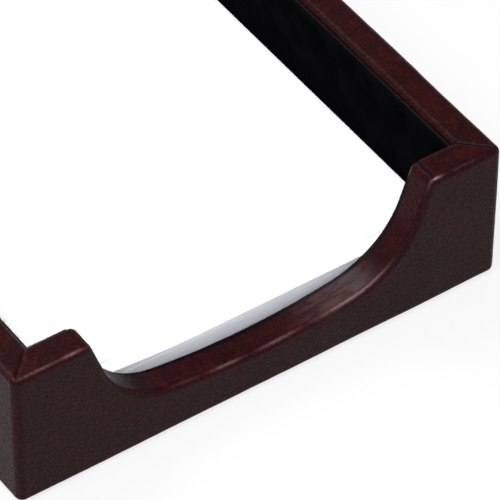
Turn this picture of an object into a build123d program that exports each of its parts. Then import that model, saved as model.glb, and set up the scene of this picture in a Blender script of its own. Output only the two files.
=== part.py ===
"""Leather-wrapped desk tray for memo sheets, with a scooped front wall.

Four rabbeted and bradded boards stand round a floor board. Leather wraps every wall, is mitred over the
corners of the rim and turned in and under, and a strip of it lines the scoop. Infill cards make the inside
level with the turned-in leather, velveteen lines the tray, and a cloth covers its underside. A stack of
memo sheets lies in the tray.

The origin is the middle of the base: X to the right, Y to the back, Z up. All sizes are in millimetres.
"""

import os
from math import cos, radians, sin, tan

from build123d import *

# ---- memo sheets, which set the size of the tray
SHEET_WIDTH = 101.6
SHEET_LENGTH = 152.4
PLAY_X = 2.0  # what the lined tray is wider than the sheets
PLAY_Y = 4.0
SHEET_GAP = 0.3  # the least gap between a sheet's edge and a lining
BLOCK = 7.75  # thickness of the sheets that lie straight
SHEAF = 0.6  # thickness of the sheaf that lies askew on them
SHEAF_SKEW = 0.25  # degrees
TOP_SHEETS = 0.2

# ---- boards
HEIGHT = 36.0  # table to rim
SIDE_BOARD = 6.0  # thickness of the left and right boards
END_BOARD = 6.0  # thickness of the front and rear boards
FLOOR_BOARD = 4.0
CORNER_RABBET = 3.0  # how far an end board reaches into a side board
FLOOR_RABBET = 2.6  # how far the floor board reaches into each wall

# ---- brads that pin the side boards to the end boards
BRAD_LENGTH = 12.0
BRAD_RADIUS = 0.6
BRAD_CLEARANCE = 0.05
BRAD_LOW = 5.5  # from the floor board up to the lower brads
BRAD_PITCH = 14.0

# ---- leather
LEATHER = 0.8
EDGE_ROUND = 1.4  # outer radius of every folded edge
TURN_IN = 9.0  # how far the leather comes down inside a wall
TURN_UNDER = 6.0  # how far it goes in under a wall

# ---- scoop in the front wall
POST_WIDTH = 18.3  # wall left at the rim, on each side of the scoop
SCOOP_SILL = 11.1  # from the table up to the scoop's lowest point
BELLY_TURN = 9.0  # degrees that the wide shallow arc turns, from the middle out
CHEEK_RADIUS = 20.2
SIDE_SLOPE = 71.2  # degrees from the table to the scoop's straight side
POST_ROUND = 2.0
STRIP_LAP = 2.0  # how far the scoop's strip runs on over each post

# ---- linings
LINING = 0.6
LINING_DROP = 1.2  # the linings stop this far short of the leather's edge
LINING_EDGE = 0.25  # radius of their turned top edge

# ---- cloth under the tray
BASE_CLOTH = 0.5
BASE_INSET = 2.5
BASE_CORNER = 4.0

# ---- what follows from these
SIDE_WALL = SIDE_BOARD + 2 * LEATHER
END_WALL = END_BOARD + 2 * LEATHER
LINED_X = (SHEET_WIDTH + PLAY_X) / 2  # face of a side lining
LINED_Y = (SHEET_LENGTH + PLAY_Y) / 2  # face of an end lining
WELL_X = LINED_X + LINING  # inner face of a side wall
WELL_Y = LINED_Y + LINING
BOARD_X = WELL_X + LEATHER  # inner face of a side board
BOARD_Y = WELL_Y + LEATHER
HALF_WIDTH = WELL_X + SIDE_WALL
HALF_DEPTH = WELL_Y + END_WALL
END_BOARD_X = BOARD_X + CORNER_RABBET  # end of a front or rear board
RIM_X = HALF_WIDTH - POST_WIDTH  # where the scoop's side would meet the rim
SEAM_X = RIM_X + STRIP_LAP
MITRE = max(SIDE_WALL, END_WALL)

BOARD_BOTTOM = BASE_CLOTH + LEATHER
FLOOR_TOP = BOARD_BOTTOM + FLOOR_BOARD
INFILL_TOP = HEIGHT - TURN_IN
LINING_TOP = HEIGHT - LINING_DROP
SHEET_BOTTOM = FLOOR_TOP + LINING

SIDES = (("left", -1), ("right", 1))
LOW_ALIGN = (Align.CENTER, Align.CENTER, Align.MIN)


def write(part: Part, name: str) -> None:
    """Label a finished piece and write its STEP file."""
    part.label = name
    export_step(part, f"parts/{name}.step")


def scoop_opening(grow: float) -> Sketch:
    """Draw the opening above the scoop, in X and Z, grown by a distance into the wall."""
    turn = radians(BELLY_TURN)
    slope = radians(SIDE_SLOPE)
    cheek_run = CHEEK_RADIUS * (sin(slope) - sin(turn))
    cheek_rise = CHEEK_RADIUS * (cos(turn) - cos(slope))
    side_run = (HEIGHT - SCOOP_SILL - cheek_rise) / tan(slope)
    belly_run = (RIM_X - cheek_run - side_run) / (1 - tan(turn / 2) / tan(slope))
    belly_radius = belly_run / sin(turn)
    cheek_turn = SIDE_SLOPE - BELLY_TURN
    with BuildSketch() as opening:
        with BuildLine():
            belly = JernArc((0, SCOOP_SILL - grow), (1, 0), belly_radius + grow, BELLY_TURN)
            cheek = JernArc(belly @ 1, belly % 1, CHEEK_RADIUS + grow, cheek_turn)
            side = PolarLine(cheek @ 1, HEIGHT, direction=cheek % 1)
            Polyline(side @ 1, (0, (side @ 1).Y), belly @ 0)
        make_face()
        mirror(about=Plane.YZ)
    return opening.sketch


def wall_ring(inset: float) -> Part:
    """Make the four walls as one ring, drawn in by inset from the leather's outer surface."""
    with BuildPart() as ring:
        with BuildSketch(Plane.XY.offset(BASE_CLOTH + inset)):
            Rectangle(2 * (HALF_WIDTH - inset), 2 * (HALF_DEPTH - inset))
            Rectangle(2 * (WELL_X + inset), 2 * (WELL_Y + inset), mode=Mode.SUBTRACT)
        extrude(amount=HEIGHT - BASE_CLOTH - 2 * inset)
        with BuildSketch(Plane.XZ.offset(HALF_DEPTH)):
            add(scoop_opening(inset))
        extrude(amount=-HALF_DEPTH, mode=Mode.SUBTRACT)
        rim_lines = ring.edges().filter_by(Axis.Y).group_by(Axis.Z)[-1]
        fillet(rim_lines.sort_by(SortBy.LENGTH)[:2], POST_ROUND - inset)
    return ring.part


def brad(clearance: float) -> Part:
    """Make a brad along +Z from its head, or the hole for it if given a clearance."""
    with BuildPart() as pin:
        Cylinder(BRAD_RADIUS + clearance, BRAD_LENGTH + clearance, align=LOW_ALIGN)
    return pin.part


def brad_places(end: int) -> list[Location]:
    """List where the brads of one end wall start, on the side boards' outer faces."""
    low = FLOOR_TOP + BRAD_LOW
    return [
        Plane(
            origin=(side * (HALF_WIDTH - LEATHER), end * (BOARD_Y + END_BOARD / 2), height),
            z_dir=(-side, 0, 0),
        ).location
        for _, side in SIDES
        for height in (low, low + BRAD_PITCH)
    ]


def end_board_space(end: int) -> Part:
    """Make the space of a front (-1) or rear (1) board, as high as the tray."""
    with BuildPart() as space:
        with BuildSketch():
            with Locations((0, end * (BOARD_Y + END_BOARD / 2))):
                Rectangle(2 * END_BOARD_X, END_BOARD)
        extrude(amount=HEIGHT)
    return space.part


def mitred_share(half_length: float, reach: float) -> Sketch:
    """Draw one wall's share of the plan, with its ends cut along the mitres from the outer corners.

    The wall lies along X, and its outer face is reach away from the middle, towards -Y.
    """
    with BuildSketch() as share:
        with BuildLine():
            Polyline(
                (-half_length, -reach),
                (half_length, -reach),
                (half_length - MITRE, -reach + MITRE),
                (-half_length + MITRE, -reach + MITRE),
                close=True,
            )
        make_face()
    return share.sketch


os.makedirs("parts", exist_ok=True)

# ---- boards: the wooden walls are one ring, shared out among four boards
carcass = wall_ring(LEATHER)
pin = brad(0)
pin_hole = brad(BRAD_CLEARANCE)

with BuildPart() as floor_board:
    with BuildSketch(Plane.XY.offset(BOARD_BOTTOM)):
        Rectangle(2 * (BOARD_X + FLOOR_RABBET), 2 * (BOARD_Y + FLOOR_RABBET))
    extrude(amount=FLOOR_BOARD)
write(floor_board.part, "floor_board")

end_spaces = {}
for name, end in (("front", -1), ("rear", 1)):
    end_spaces[name] = end_board_space(end)
    with BuildPart() as end_board:
        add(carcass)
        add(end_spaces[name], mode=Mode.INTERSECT)
        add(floor_board.part, mode=Mode.SUBTRACT)
        with Locations(*brad_places(end)):
            add(pin_hole, mode=Mode.SUBTRACT)
    write(end_board.part, f"{name}_board")

    with BuildPart() as end_brads:
        with Locations(*brad_places(end)):
            add(pin)
    write(end_brads.part, f"{name}_brads")

for name, side in SIDES:
    with BuildPart() as side_board:
        add(carcass)
        with BuildSketch():
            with Locations((side * (BOARD_X + SIDE_BOARD / 2), 0)):
                Rectangle(SIDE_BOARD, 2 * HALF_DEPTH)
        extrude(amount=HEIGHT, mode=Mode.INTERSECT)
        for space in end_spaces.values():
            add(space, mode=Mode.SUBTRACT)
        add(floor_board.part, mode=Mode.SUBTRACT)
        with Locations(*brad_places(-1), *brad_places(1)):
            add(pin_hole, mode=Mode.SUBTRACT)
    write(side_board.part, f"{name}_board")

# ---- infill cards, as thick as the leather beside them
with BuildPart() as base_infill:
    with BuildSketch(Plane.XY.offset(BASE_CLOTH)):
        Rectangle(2 * (HALF_WIDTH - TURN_UNDER), 2 * (HALF_DEPTH - TURN_UNDER))
    extrude(amount=LEATHER)
write(base_infill.part, "base_infill")

infills = [base_infill.part]
for name, side in SIDES:
    with BuildPart() as side_infill:
        with BuildSketch(Plane.XY.offset(FLOOR_TOP)):
            with Locations((side * (WELL_X + LEATHER / 2), 0)):
                Rectangle(LEATHER, 2 * BOARD_Y)
        extrude(amount=INFILL_TOP - FLOOR_TOP)
    write(side_infill.part, f"{name}_infill")
    infills.append(side_infill.part)

with BuildPart() as rear_infill:
    with BuildSketch(Plane.XY.offset(FLOOR_TOP)):
        with Locations((0, WELL_Y + LEATHER / 2)):
            Rectangle(2 * WELL_X, LEATHER)
    extrude(amount=INFILL_TOP - FLOOR_TOP)
write(rear_infill.part, "rear_infill")
infills.append(rear_infill.part)

# ---- leather: the skin round the boards, cut at the mitres, at the infills and at the scoop's strip
with BuildPart() as wrap:
    add(wall_ring(0))
    uprights = wrap.edges().filter_by(Axis.Z)
    fillet(uprights.sort_by_distance((0, 0, HEIGHT / 2))[-4:], EDGE_ROUND)
    sole = wrap.faces().sort_by(Axis.Z)[0]
    across_front = wrap.edges().filter_by(Axis.Y).filter_by_position(Axis.Y, -HALF_DEPTH, -WELL_Y)
    rim_folds = wrap.edges() - wrap.edges().filter_by(Axis.Z) - across_front - sole.edges()
    fillet(rim_folds + sole.outer_wire().edges(), EDGE_ROUND)

with BuildPart() as skin:
    add(wrap.part)
    add(carcass, mode=Mode.SUBTRACT)
    for infill in infills:
        add(infill, mode=Mode.SUBTRACT)
    with BuildSketch():
        Rectangle(2 * BOARD_X, 2 * BOARD_Y)
    extrude(amount=FLOOR_TOP, mode=Mode.SUBTRACT)

with BuildPart() as strip_space:
    with BuildSketch(Plane.XY.offset(FLOOR_TOP)):
        with Locations((0, -WELL_Y - (END_WALL - EDGE_ROUND) / 2)):
            Rectangle(2 * SEAM_X, END_WALL - EDGE_ROUND)
    extrude(amount=HEIGHT - FLOOR_TOP)

with BuildPart() as scoop_leather:
    add(skin.part)
    add(strip_space.part, mode=Mode.INTERSECT)
write(scoop_leather.part, "scoop_leather")

end_share = mitred_share(HALF_WIDTH, HALF_DEPTH)
side_share = mitred_share(HALF_DEPTH, HALF_WIDTH)
for name, share, turn in (
    ("front", end_share, 0),
    ("right", side_share, 90),
    ("rear", end_share, 180),
    ("left", side_share, 270),
):
    with BuildPart() as leather:
        add(skin.part)
        with BuildSketch(Plane.XY.rotated((0, 0, turn))):
            add(share)
        extrude(amount=HEIGHT, mode=Mode.INTERSECT)
        add(strip_space.part, mode=Mode.SUBTRACT)
    write(leather.part, f"{name}_leather")

# ---- linings
with BuildPart() as floor_lining:
    with BuildSketch(Plane.XY.offset(FLOOR_TOP)):
        Rectangle(2 * LINED_X, 2 * LINED_Y)
    extrude(amount=LINING)
write(floor_lining.part, "floor_lining")

for name, side in SIDES:
    with BuildPart() as side_lining:
        with BuildSketch(Plane.XY.offset(FLOOR_TOP)):
            with Locations((side * (LINED_X + LINING / 2), 0)):
                Rectangle(LINING, 2 * WELL_Y)
        extrude(amount=LINING_TOP - FLOOR_TOP)
        top_edges = side_lining.edges().filter_by(Axis.Y).group_by(Axis.Z)[-1]
        fillet(top_edges.sort_by_distance((0, 0, LINING_TOP))[0], LINING_EDGE)
    write(side_lining.part, f"{name}_lining")

with BuildPart() as rear_lining:
    with BuildSketch(Plane.XY.offset(FLOOR_TOP)):
        with Locations((0, LINED_Y + LINING / 2)):
            Rectangle(2 * LINED_X, LINING)
    extrude(amount=LINING_TOP - FLOOR_TOP)
    top_edges = rear_lining.edges().filter_by(Axis.X).group_by(Axis.Z)[-1]
    fillet(top_edges.sort_by(Axis.Y)[0], LINING_EDGE)
write(rear_lining.part, "rear_lining")

with BuildPart() as front_lining:
    with BuildSketch(Plane.XZ.offset(WELL_Y)) as front_outline:
        with Locations((0, (FLOOR_TOP + LINING_TOP) / 2)):
            Rectangle(2 * LINED_X, LINING_TOP - FLOOR_TOP)
        add(scoop_opening(LINING_DROP), mode=Mode.SUBTRACT)
        rim_corners = front_outline.vertices().group_by(Axis.Z)[-1].sort_by(Axis.X)[1:3]
        fillet(rim_corners, POST_ROUND - LINING_DROP)
    extrude(amount=-LINING)
write(front_lining.part, "front_lining")

# ---- cloth under the tray
with BuildPart() as base_cloth:
    with BuildSketch():
        RectangleRounded(2 * (HALF_WIDTH - BASE_INSET), 2 * (HALF_DEPTH - BASE_INSET), BASE_CORNER)
    extrude(amount=BASE_CLOTH)
write(base_cloth.part, "base_cloth")

# ---- memo sheets: most lie straight in the front right corner, a sheaf lies askew, the top ones lie back
stack_x = (PLAY_X / 2) - SHEET_GAP
stack_y = (PLAY_Y / 2) - SHEET_GAP
sheaf_y = stack_y - SHEET_WIDTH / 2 * sin(radians(SHEAF_SKEW))
for name, place, skew, bottom, thickness in (
    ("memo_block", (stack_x, -stack_y), 0, SHEET_BOTTOM, BLOCK),
    ("memo_sheaf", (0, -sheaf_y), -SHEAF_SKEW, SHEET_BOTTOM + BLOCK, SHEAF),
    ("top_sheets", (-stack_x, stack_y), 0, SHEET_BOTTOM + BLOCK + SHEAF, TOP_SHEETS),
):
    with BuildPart() as sheets:
        with BuildSketch(Plane.XY.offset(bottom)):
            with Locations(place):
                Rectangle(SHEET_WIDTH, SHEET_LENGTH, rotation=skew)
        extrude(amount=thickness)
    write(sheets.part, name)
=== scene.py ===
"""Blender scene of the leather-covered memo tray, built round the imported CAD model.

Leather with folded, rubbed edges covers the walls and the scoop, velveteen lines the tray, felt covers its
underside, and the memo sheets lie in it one by one. The boards, the brads and the infill cards stay as the
CAD has them and get a finish. All places are in metres in the frame of the CAD model: the origin is the
middle of the base, X to the right, Y to the back, Z up.
"""

import logging
import math
from collections.abc import Sequence
from dataclasses import dataclass, field
from enum import Enum

import bpy
import numpy as np
from mathutils import Matrix, Vector, noise


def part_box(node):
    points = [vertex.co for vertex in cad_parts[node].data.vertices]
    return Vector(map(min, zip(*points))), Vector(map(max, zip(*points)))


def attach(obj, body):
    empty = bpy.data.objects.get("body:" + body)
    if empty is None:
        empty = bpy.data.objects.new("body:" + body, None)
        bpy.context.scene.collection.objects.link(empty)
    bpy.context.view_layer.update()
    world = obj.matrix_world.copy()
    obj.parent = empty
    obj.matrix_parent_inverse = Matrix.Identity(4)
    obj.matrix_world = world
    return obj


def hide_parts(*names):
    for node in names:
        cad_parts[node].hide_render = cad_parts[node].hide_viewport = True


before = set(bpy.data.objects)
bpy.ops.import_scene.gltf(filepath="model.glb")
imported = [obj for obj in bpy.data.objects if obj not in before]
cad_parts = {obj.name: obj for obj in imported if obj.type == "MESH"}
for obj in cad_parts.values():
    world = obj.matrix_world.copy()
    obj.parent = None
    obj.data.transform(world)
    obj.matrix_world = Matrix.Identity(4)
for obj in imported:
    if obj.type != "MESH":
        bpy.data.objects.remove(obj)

MM = 0.001
BODY_TRAY = "tray"
SHEET_SIZE = (101.6 * MM, 152.4 * MM)
RIGHT_ANGLE = math.pi / 2
TINY = 1e-9
SLACK = 1e-6
WELD_GAP = 0.002 * MM
LOG = logging.getLogger("memo_tray")

Colour = tuple[float, float, float]
Ramp = tuple[float, ...]
Array = np.ndarray
Inputs = dict[str | int, object]
Piece = bpy.types.Object
Material = bpy.types.Material
Socket = bpy.types.NodeSocket
WHITE = (1.0, 1.0, 1.0)


# ---- mesh helpers


class Side(Enum):
    """A wall of the tray: its name in the CAD and the turn about Z that brings the front wall onto it."""

    FRONT = ("front", 0)
    RIGHT = ("right", 1)
    REAR = ("rear", 2)
    LEFT = ("left", 3)

    @property
    def label(self) -> str:
        """The wall's name in the CAD."""
        return self.value[0]

    @property
    def along_y(self) -> bool:
        """True for the two walls that run from front to back."""
        return self.value[1] % 2 == 1

    def place(self, along: Array, outward: Array, up: Array) -> Array:
        """Turns points given for the front wall onto this wall.

        Args:
            along: Distances along the wall, to the right as seen from outside.
            outward: Distances from the tray's middle towards the outside.
            up: Heights.

        Returns:
            The points, with X, Y and Z in the last axis.
        """
        turn = self.value[1]
        x = (along, outward, -along, -outward)[turn]
        y = (-outward, along, outward, -along)[turn]
        return np.stack([x, y, up], axis=-1)


@dataclass
class Sheet:
    """A grid of points that becomes a mesh, with a value for each point under each attribute's name."""

    points: Array
    values: dict[str, Array] = field(default_factory=dict)

    def faces(self, keep: Array | None = None, flip: bool = False) -> Array:
        """Lists the grid's quads.

        Args:
            keep: Which quads to list, as an array of one flag for each quad, or None for all.
            flip: True to turn the quads over.

        Returns:
            An array of four point numbers for each quad.
        """
        rows, columns = self.points.shape[:2]
        number = np.arange(rows * columns).reshape(rows, columns)
        corners = (number[:-1, :-1], number[:-1, 1:], number[1:, 1:], number[1:, :-1])
        quads = np.stack(corners[::-1] if flip else corners, axis=-1)
        return quads[keep] if keep is not None else quads.reshape(-1, 4)


def make_object(
    name: str, points: Array, faces: Array, values: dict[str, Array], smooth: bool = True
) -> Piece:
    """Makes a mesh object with sharp rims, without the points that no quad uses.

    Args:
        name: The piece's name.
        points: The points, with X, Y and Z in the last axis.
        faces: One row of point numbers for each face.
        values: A value for each point under each attribute's name.
        smooth: True to shade the faces as one curved surface.

    Returns:
        The new object.
    """
    used, numbers = np.unique(faces, return_inverse=True)
    mesh = bpy.data.meshes.new(name)
    mesh.from_pydata(points.reshape(-1, 3)[used].tolist(), [], numbers.reshape(faces.shape).tolist())
    for label, each in values.items():
        attribute = mesh.attributes.new(label, "FLOAT", "POINT")
        attribute.data.foreach_set("value", each[used].astype(np.float32))
    mesh.polygons.foreach_set("use_smooth", [smooth] * len(mesh.polygons))
    mesh.update()
    uses = np.zeros(len(mesh.loops), dtype=np.int32)
    mesh.loops.foreach_get("edge_index", uses)
    rims = np.bincount(uses, minlength=len(mesh.edges)) == 1
    mesh.attributes.new("sharp_edge", "BOOLEAN", "EDGE").data.foreach_set("value", rims)
    piece = bpy.data.objects.new(name, mesh)
    bpy.context.scene.collection.objects.link(piece)
    return piece


def settle(piece: Piece, material: Material, body: str, node: str) -> Piece:
    """Gives a piece its finish and its place in the model.

    Args:
        piece: The piece.
        material: Its finish.
        body: The body that it moves with.
        node: The CAD node that it stands for.

    Returns:
        The same piece.
    """
    piece.data.materials.append(material)
    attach(piece, body)
    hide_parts(node)
    return piece


def thicken(piece: Piece, thickness: float) -> None:
    """Gives an open surface its thickness, on the side away from its normals.

    Args:
        piece: The surface.
        thickness: Its thickness.
    """
    solid = piece.modifiers.new("thickness", "SOLIDIFY")
    solid.thickness = thickness
    solid.offset = -1
    solid.use_quality_normals = True


def ripple(points: Array, pitch: float, seed: float) -> Array:
    """Gives a smooth random value from about -1 to 1 at each point.

    Args:
        points: The places, with X, Y and Z in the last axis.
        pitch: The distance between one swell and the next.
        seed: Shifts the pattern.

    Returns:
        One value for each point.
    """
    flat = points.reshape(-1, 3) / pitch + seed
    values = [noise.noise(Vector(place)) for place in flat.tolist()]
    return np.array(values).reshape(points.shape[:-1])


def bell(distance: Array, reach: float) -> Array:
    """A smooth hump: 1 where the distance is 0, and about a third of that at the reach."""
    return np.exp(-((distance / reach) ** 2))


def spread(start: float, end: float, step: float) -> Array:
    """Spaces values evenly from start to end, both included, no further apart than step."""
    return np.linspace(start, end, max(2, math.ceil(abs(end - start) / step - SLACK) + 1))


def with_tails(core: Array, tail: Array, sign: float = 1.0) -> Array:
    """Puts a tail after a run of values, and the same tail mirrored and times sign before it."""
    return np.concatenate([sign * tail[::-1], core, tail])


# ---- node helpers


@dataclass(frozen=True)
class Grain:
    """A noise pattern: how far apart its swells are, its finer layers, and how strong those are."""

    pitch: float
    layers: float = 2.0
    strength: float = 0.6


class NodeSketch:
    """A node tree, with short methods for the nodes that the finishes and the studio use."""

    def __init__(self, tree: bpy.types.NodeTree) -> None:
        """Takes up a node tree."""
        self.tree = tree

    def add(self, kind: str, inputs: Inputs | None = None, **settings: object) -> bpy.types.Node:
        """Adds a node.

        Args:
            kind: The node's type without its ShaderNode prefix.
            inputs: A value, or a socket to link, for each input by its name or number.
            settings: The node's own properties.

        Returns:
            The new node.
        """
        node = self.tree.nodes.new(f"ShaderNode{kind}")
        for key, value in settings.items():
            setattr(node, key, value)
        for key, value in (inputs or {}).items():
            self.feed(node.inputs[key], value)
        return node

    def feed(self, socket: Socket, value: object) -> None:
        """Links a socket to an input, or sets the input's value.

        Args:
            socket: The input.
            value: A socket, a plain value, or a colour without its alpha.
        """
        if isinstance(value, Socket):
            self.tree.links.new(value, socket)
        elif isinstance(value, tuple) and len(value) == 3 and socket.type == "RGBA":
            socket.default_value = (*value, 1.0)
        else:
            socket.default_value = value

    def place(self) -> Socket:
        """The point on the surface, in the object's own metres."""
        return self.add("TexCoord").outputs["Object"]

    def scaled(self, place: Socket, scale: tuple[float, float, float]) -> Socket:
        """A place with each axis scaled: a noise there runs along the axis with the smallest scale."""
        return self.add("Mapping", {"Vector": place, "Scale": scale}).outputs["Vector"]

    def value(self, name: str) -> Socket:
        """A value that the mesh carries at each point."""
        return self.add("Attribute", attribute_name=name).outputs["Fac"]

    def noise(self, grain: Grain, place: Socket) -> Socket:
        """Noise from 0 to 1."""
        inputs = {"Scale": 1 / grain.pitch, "Detail": grain.layers, "Roughness": grain.strength}
        return self.add("TexNoise", {"Vector": place, **inputs}).outputs["Fac"]

    def cells(self, pitch: float, place: Socket) -> Socket:
        """The distance from the middle of soft cells of about pitch across, from 0."""
        inputs = {"Vector": place, "Scale": 1 / pitch}
        return self.add("TexVoronoi", inputs, feature="SMOOTH_F1").outputs["Distance"]

    def ramp(self, value: Socket, ramp: Ramp) -> Socket:
        """Maps a ramp's first two values onto its last two, or 0 and 1, and goes no further at the ends."""
        inputs = {"Value": value, **dict(zip(("From Min", "From Max", "To Min", "To Max"), ramp))}
        return self.add("MapRange", inputs, interpolation_type="SMOOTHSTEP").outputs["Result"]

    def math(self, operation: str, first: object, second: object) -> Socket:
        """A sum, product or other operation on two values."""
        return self.add("Math", {0: first, 1: second}, operation=operation).outputs[0]

    def times(self, first: object, second: object) -> Socket:
        """The product of two values."""
        return self.math("MULTIPLY", first, second)

    def most(self, first: object, second: object) -> Socket:
        """The larger of two values."""
        return self.math("MAXIMUM", first, second)

    def without(self, value: Socket) -> Socket:
        """What a value lacks from 1."""
        return self.math("SUBTRACT", 1.0, value)

    def mix(self, share: object, first: object, second: object) -> Socket:
        """Mixes two colours.

        Args:
            share: The second colour's share, from 0 to 1.
            first: The first colour.
            second: The second colour.

        Returns:
            The mixed colour.
        """
        node = self.add("Mix", data_type="RGBA")
        self.feed(node.inputs["Factor"], share)
        self.feed(node.inputs[6], first)
        self.feed(node.inputs[7], second)
        return node.outputs[2]

    def mottled(self, grain: Grain, place: Socket, ramp: Ramp, first: Colour, second: Colour) -> Socket:
        """Two colours in patches, the second where a noise is high on the ramp."""
        return self.mix(self.ramp(self.noise(grain, place), ramp), first, second)

    def bump(self, height: Socket, depth: float, normal: Socket | None = None) -> Socket:
        """A normal that follows a height from 0 to 1, of that depth in metres, on top of another normal."""
        inputs = {"Height": height, "Distance": depth, **({"Normal": normal} if normal else {})}
        return self.add("Bump", inputs).outputs["Normal"]

    def seen_directly(self) -> Socket:
        """A value of 1 for what the camera sees, also by reflection or through glass."""
        ray = self.add("LightPath").outputs
        return self.most(self.most(ray["Is Camera Ray"], ray["Is Glossy Ray"]), ray["Is Transmission Ray"])


class MaterialSketch(NodeSketch):
    """A new material with its node tree and its shader."""

    def __init__(self, name: str) -> None:
        """Starts a material.

        Args:
            name: The material's name.
        """
        self.material = bpy.data.materials.new(name)
        self.material.use_nodes = True
        super().__init__(self.material.node_tree)
        self.shader = self.tree.nodes["Principled BSDF"]

    def shade(self, **inputs: object) -> Material:
        """Sets the shader's inputs.

        Args:
            inputs: The inputs by name, with an underscore for each space.

        Returns:
            The material.
        """
        for key, value in inputs.items():
            self.feed(self.shader.inputs[key.replace("_", " ")], value)
        return self.material


# ---- finishes


@dataclass(frozen=True)
class LeatherFinish:
    """Deep red-brown finished leather: fine pebble grain, soft mottling, gloss and wear on the folds, with
    painted highlights and painted shade in its colour.
    """

    name: str = "leather"
    colour: Colour = (0.0222, 0.0010, 0.0016)
    deep: Colour = (0.0120, 0.0005, 0.0010)
    warm: Colour = (0.0320, 0.0021, 0.0024)
    # Paler tones for wear, each also a painted highlight: on the folds, at their strongest points, and on
    # the knocked-off spots.
    rubbed_and_highlight: Colour = (0.0800, 0.0330, 0.0340)
    bare_and_highlight: Colour = (0.2400, 0.1700, 0.1550)
    scuffed_and_highlight: Colour = (0.3200, 0.2500, 0.2400)
    shadow: Colour = (0.0020, 0.0022, 0.0058)
    pebble: float = 0.75 * MM
    pebble_depth: float = 0.085 * MM
    pore_depth: float = 0.012 * MM
    pore: Grain = Grain(0.22 * MM, 1.0, 0.5)
    mottle: Grain = Grain(9 * MM, 3.0)
    blotch: Grain = Grain(2.4 * MM, 4.0, 0.68)
    speckle: Grain = Grain(0.6 * MM)
    glint: Grain = Grain(0.55 * MM, 1.0, 0.5)
    streak: Grain = Grain(1.3 * MM, 3.0)
    streak_scale: tuple[float, float, float] = (0.3, 1.0, 0.6)
    mottle_ramp: Ramp = (0.35, 0.68)
    warm_ramp: Ramp = (0.50, 0.66)
    deep_ramp: Ramp = (0.50, 0.32, 0.0, 0.7)
    speckle_ramp: Ramp = (0.50, 0.74, 0.0, 0.55)
    pebble_ramp: Ramp = (0.55, 0.95, 0.0, 0.45)
    # Painted shade: the deep tone's share on faces that turn away from straight up.
    side_face_shade_share: float = 0.65
    patch_ramp: Ramp = (0.30, 0.62, 0.70, 1.0)
    rubbed_and_highlight_ramp: Ramp = (0.0, 0.5)
    bare_and_highlight_ramp: Ramp = (0.3, 1.0, 0.0, 0.85)
    scuff_and_highlight_ramp: Ramp = (0.25, 0.8)
    streak_ramp: Ramp = (0.30, 0.64, 0.50, 1.0)
    handled_and_highlight_ramp: Ramp = (0.05, 0.60, 0.0, 0.48)
    seam_shade_ramp: Ramp = (0.0, 1.0, 0.0, 0.9)
    rough_ramp: Ramp = (0.3, 0.7, 0.38, 0.56)
    glint_ramp: Ramp = (0.35, 0.68, 0.0, 0.12)
    rub_polish: float = 0.3
    ior: float = 1.155
    specular: float = 0.5
    coat_roughness: float = 0.30
    coat_ior: float = 1.5

    def build(self) -> Material:
        """Builds the material.

        Returns:
            A material that reads the meshes' values for wear with painted highlight, knocked-off spots with
            painted highlight, dark seams with painted shade, gloss with painted highlight, and painted shade
            on faces that turn from straight up.
        """
        sketch = MaterialSketch(self.name)
        place = sketch.place()
        seam_shade = sketch.value("seam_shade")
        blotch = sketch.noise(self.blotch, place)
        speckle = sketch.noise(self.speckle, place)
        pebble = sketch.cells(self.pebble, place)
        patchy_wear_and_highlight = sketch.times(sketch.value("rub"), sketch.ramp(speckle, self.patch_ramp))
        streaks = sketch.noise(self.streak, sketch.scaled(place, self.streak_scale))
        handled_and_highlight = sketch.times(sketch.value("polish"), sketch.ramp(streaks, self.streak_ramp))
        tone = sketch.mottled(self.mottle, place, self.mottle_ramp, self.deep, self.colour)
        layers = (
            (sketch.ramp(blotch, self.warm_ramp), self.warm),
            (sketch.ramp(blotch, self.deep_ramp), self.deep),
            (sketch.ramp(speckle, self.speckle_ramp), self.warm),
            (sketch.ramp(pebble, self.pebble_ramp), self.deep),
            # Painted shade: the deep tone on faces that turn away from straight up.
            (sketch.times(sketch.value("side_face_shade"), self.side_face_shade_share), self.deep),
            # Wear with a painted highlight: a paler tone on the folds and the vertical corners.
            (sketch.ramp(patchy_wear_and_highlight, self.rubbed_and_highlight_ramp), self.rubbed_and_highlight),
            # Wear with a painted highlight: the palest tone where the folds are marked most.
            (sketch.ramp(patchy_wear_and_highlight, self.bare_and_highlight_ramp), self.bare_and_highlight),
            # Knocked-off spots on the right post, with a painted highlight.
            (sketch.ramp(sketch.value("scuff_and_highlight"), self.scuff_and_highlight_ramp), self.scuffed_and_highlight),
            # Gloss streaks on the scoop's strip, with a painted highlight in the paler tone.
            (sketch.ramp(handled_and_highlight, self.handled_and_highlight_ramp), self.rubbed_and_highlight),
            # Dark seams and grooves, and painted shade along the scoop's inner edge and low on its left
            # side.
            (sketch.ramp(seam_shade, self.seam_shade_ramp), self.shadow),
        )
        for share, colour in layers:
            tone = sketch.mix(share, tone, colour)
        relief = sketch.bump(sketch.without(pebble), self.pebble_depth)
        relief = sketch.bump(sketch.noise(self.pore, place), self.pore_depth, relief)
        glint = sketch.ramp(sketch.noise(self.glint, place), self.glint_ramp)
        polish = sketch.most(sketch.times(patchy_wear_and_highlight, self.rub_polish), handled_and_highlight)
        return sketch.shade(
            Base_Color=tone,
            Roughness=sketch.most(sketch.ramp(speckle, self.rough_ramp), seam_shade),
            IOR=self.ior,
            Specular_IOR_Level=self.specular,
            Normal=sketch.bump(blotch, self.pebble_depth, relief),
            Coat_Weight=sketch.most(polish, sketch.times(glint, sketch.without(seam_shade))),
            Coat_Roughness=self.coat_roughness,
            Coat_IOR=self.coat_ior,
        )


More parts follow.
